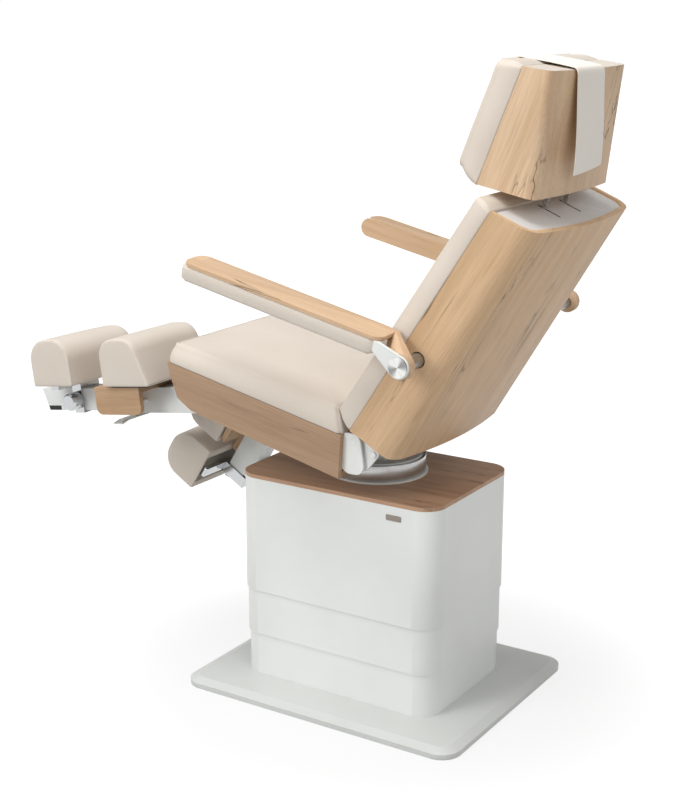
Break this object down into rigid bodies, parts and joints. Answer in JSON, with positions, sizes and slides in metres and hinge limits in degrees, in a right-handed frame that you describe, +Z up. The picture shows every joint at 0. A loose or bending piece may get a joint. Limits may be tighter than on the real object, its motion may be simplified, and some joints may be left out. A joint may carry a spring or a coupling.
{
  "type": "podiatry chair",
  "caption": "Treatment chair on a boxed lifting column: swivelling tilting seat, reclining back with sliding headrest, folding armrests and separate telescopic leg rests.",
  "frame": {"origin": "on the floor, at the middle of the floor plate's underside, below the swivel axis", "axes": "+X is where the sitter faces, +Y is the sitter's left, +Z is up"},
  "size_m": [1.6139, 0.962, 1.6845],
  "materials": {
    "white": "satin",
    "oak": "satin",
    "board": "satin",
    "leather": "matte",
    "steel": "brushed",
    "chrome": "polished",
    "grey": "matte",
    "aluminium": "satin",
    "black": "matte",
    "bronze": "anodised"
  },
  "bodies": {
    "base": {"base_plate": "white", "lower_cover": "white", "mast_outer": "steel", "mains_inlet": "black"},
    "middle_stage": {"middle_cover": "white", "mast_middle": "steel"},
    "column": {"upper_cover": "white", "top_board": "board", "bare_plate": "bronze", "mast_inner": "steel", "swivel_flange": "steel"},
    "turret": {"swivel_drum": "steel", "turret_yoke": "white"},
    "seat": {"seat_frame": "white", "seat_shell": "oak", "seat_cushion": "leather", "seat_brackets": "white", "knee_axle": "steel", "hinge_pins": "steel"},
    "back": {"back_frame": "white", "back_shell": "oak", "back_cushion": "leather", "slot_plate": "grey", "back_bolts": "steel"},
    "headrest_carrier": {"head_block": "steel"},
    "headrest": {"head_bars": "chrome", "head_shell": "oak", "head_cushion": "leather", "head_strap": "leather"},
    "arm_slider_left": {"arm_shaft_left": "grey"},
    "armrest_left": {"arm_wood_left": "oak", "arm_pad_left": "leather", "arm_bracket_left": "white", "arm_disc_left": "chrome"},
    "leg_left": {"leg_carrier_left": "white"},
    "calf_left": {"leg_wood_left": "oak", "calf_pad_left": "leather"},
    "leg_beam_left": {"leg_beam_left": "white", "beam_cap_left": "black"},
    "foot_left": {"foot_carriage_left": "chrome", "foot_rail_left": "chrome", "foot_pad_left": "leather"},
    "clamp_knob_left": {"clamp_knob_left": "aluminium"},
    "release_lever_left": {"release_lever_left": "steel"},
    "arm_slider_right": {"arm_shaft_right": "grey"},
    "armrest_right": {"arm_wood_right": "oak", "arm_pad_right": "leather", "arm_bracket_right": "white", "arm_disc_right": "chrome"},
    "leg_right": {"leg_carrier_right": "white"},
    "calf_right": {"leg_wood_right": "oak", "calf_pad_right": "leather"},
    "leg_beam_right": {"leg_beam_right": "white", "beam_cap_right": "black"},
    "foot_right": {"foot_carriage_right": "chrome", "foot_rail_right": "chrome", "foot_pad_right": "leather"},
    "clamp_knob_right": {"clamp_knob_right": "aluminium"},
    "release_lever_right": {"release_lever_right": "steel"}
  },
  "joints": [
    {"name": "column_lift", "type": "slide", "parent": "base", "child": "column", "axis": [0, 0, 1], "range_m": [-0.19, 0.15]},
    {"name": "middle_stage_lift", "type": "slide", "parent": "base", "child": "middle_stage", "axis": [0, 0, 1], "range_m": [-0.095, 0.075]},
    {"name": "swivel", "type": "hinge", "parent": "column", "child": "turret", "pos_m": [0, 0, 0.62], "axis": [0, 0, 1], "range_deg": [-150, 150]},
    {"name": "seat_tilt", "type": "hinge", "parent": "turret", "child": "seat", "pos_m": [-0.01, 0, 0.69], "axis": [0, -1, 0], "range_deg": [-12, 6]},
    {"name": "back_recline", "type": "hinge", "parent": "seat", "child": "back", "pos_m": [-0.088, 0, 0.748], "axis": [0, -1, 0], "range_deg": [-3, 50]},
    {"name": "headrest_swing", "type": "hinge", "parent": "back", "child": "headrest_carrier", "pos_m": [-0.44674, 0, 1.21098], "axis": [0, -1, 0], "range_deg": [-2, 14]},
    {"name": "headrest_height", "type": "slide", "parent": "headrest_carrier", "child": "headrest", "axis": [-0.284, 0, 0.9588], "range_m": [0, 0.06]},
    {"name": "armrest_spread_left", "type": "slide", "parent": "back", "child": "arm_slider_left", "axis": [0, 1, 0], "range_m": [0, 0.208]},
    {"name": "armrest_fold_left", "type": "hinge", "parent": "arm_slider_left", "child": "armrest_left", "pos_m": [-0.277, 0.33, 0.985], "axis": [0, -1, 0], "range_deg": [-40, 75]},
    {"name": "leg_raise_left", "type": "hinge", "parent": "seat", "child": "leg_left", "pos_m": [0.375, 0.145, 0.8], "axis": [0, -1, 0], "range_deg": [-58, 13]},
    {"name": "leg_reach_left", "type": "slide", "parent": "leg_left", "child": "leg_beam_left", "axis": [0.9903, 0, -0.1392], "range_m": [-0.243, 0.02]},
    {"name": "calf_reach_left", "type": "slide", "parent": "leg_left", "child": "calf_left", "axis": [0.9903, 0, -0.1392], "range_m": [-0.05651, 0.00511]},
    {"name": "foot_reach_left", "type": "slide", "parent": "leg_beam_left", "child": "foot_left", "axis": [0.9903, 0, -0.1392], "range_m": [-0.01, 0.1215]},
    {"name": "clamp_turn_left", "type": "hinge", "parent": "foot_left", "child": "clamp_knob_left", "pos_m": [0.88874, 0.202, 0.6975], "axis": [0, 1, 0], "range_deg": [-180, 180]},
    {"name": "lever_pull_left", "type": "hinge", "parent": "leg_left", "child": "release_lever_left", "pos_m": [0.68682, 0.145, 0.68347], "axis": [0.9903, 0, -0.1392], "range_deg": [0, 8], "stiffness_Nm_per_rad": 2, "springref_deg": -8.59},
    {"name": "armrest_spread_right", "type": "slide", "parent": "back", "child": "arm_slider_right", "axis": [0, -1, 0], "range_m": [-0.208, 0]},
    {"name": "armrest_fold_right", "type": "hinge", "parent": "arm_slider_right", "child": "armrest_right", "pos_m": [-0.277, -0.33, 0.985], "axis": [0, -1, 0], "range_deg": [-40, 75]},
    {"name": "leg_raise_right", "type": "hinge", "parent": "seat", "child": "leg_right", "pos_m": [0.375, -0.145, 0.8], "axis": [0, -1, 0], "range_deg": [-7.5, 63.5]},
    {"name": "leg_reach_right", "type": "slide", "parent": "leg_right", "child": "leg_beam_right", "axis": [0.5225, 0, -0.8526], "range_m": [0, 0.263]},
    {"name": "calf_reach_right", "type": "slide", "parent": "leg_right", "child": "calf_right", "axis": [0.5225, 0, -0.8526], "range_m": [0, 0.06112]},
    {"name": "foot_reach_right", "type": "slide", "parent": "leg_beam_right", "child": "foot_right", "axis": [0.5225, 0, -0.8526], "range_m": [-0.1315, 0]},
    {"name": "clamp_turn_right", "type": "hinge", "parent": "foot_right", "child": "clamp_knob_right", "pos_m": [0.55476, -0.202, 0.44924], "axis": [0, -1, 0], "range_deg": [-180, 180]},
    {"name": "lever_pull_right", "type": "hinge", "parent": "leg_right", "child": "release_lever_right", "pos_m": [0.48342, -0.145, 0.48527], "axis": [-0.5225, 0, 0.8526], "range_deg": [0, 8], "stiffness_Nm_per_rad": 2, "springref_deg": -8.59}
  ],
  "couplings": [
    {"joint": "middle_stage_lift", "follows": "column_lift", "ratio": 0.5},
    {"joint": "calf_reach_left", "follows": "leg_reach_left", "ratio": 0.2305},
    {"joint": "foot_reach_left", "follows": "leg_reach_left", "ratio": -0.5},
    {"joint": "calf_reach_right", "follows": "leg_reach_right", "ratio": 0.2305},
    {"joint": "foot_reach_right", "follows": "leg_reach_right", "ratio": -0.5}
  ]
}
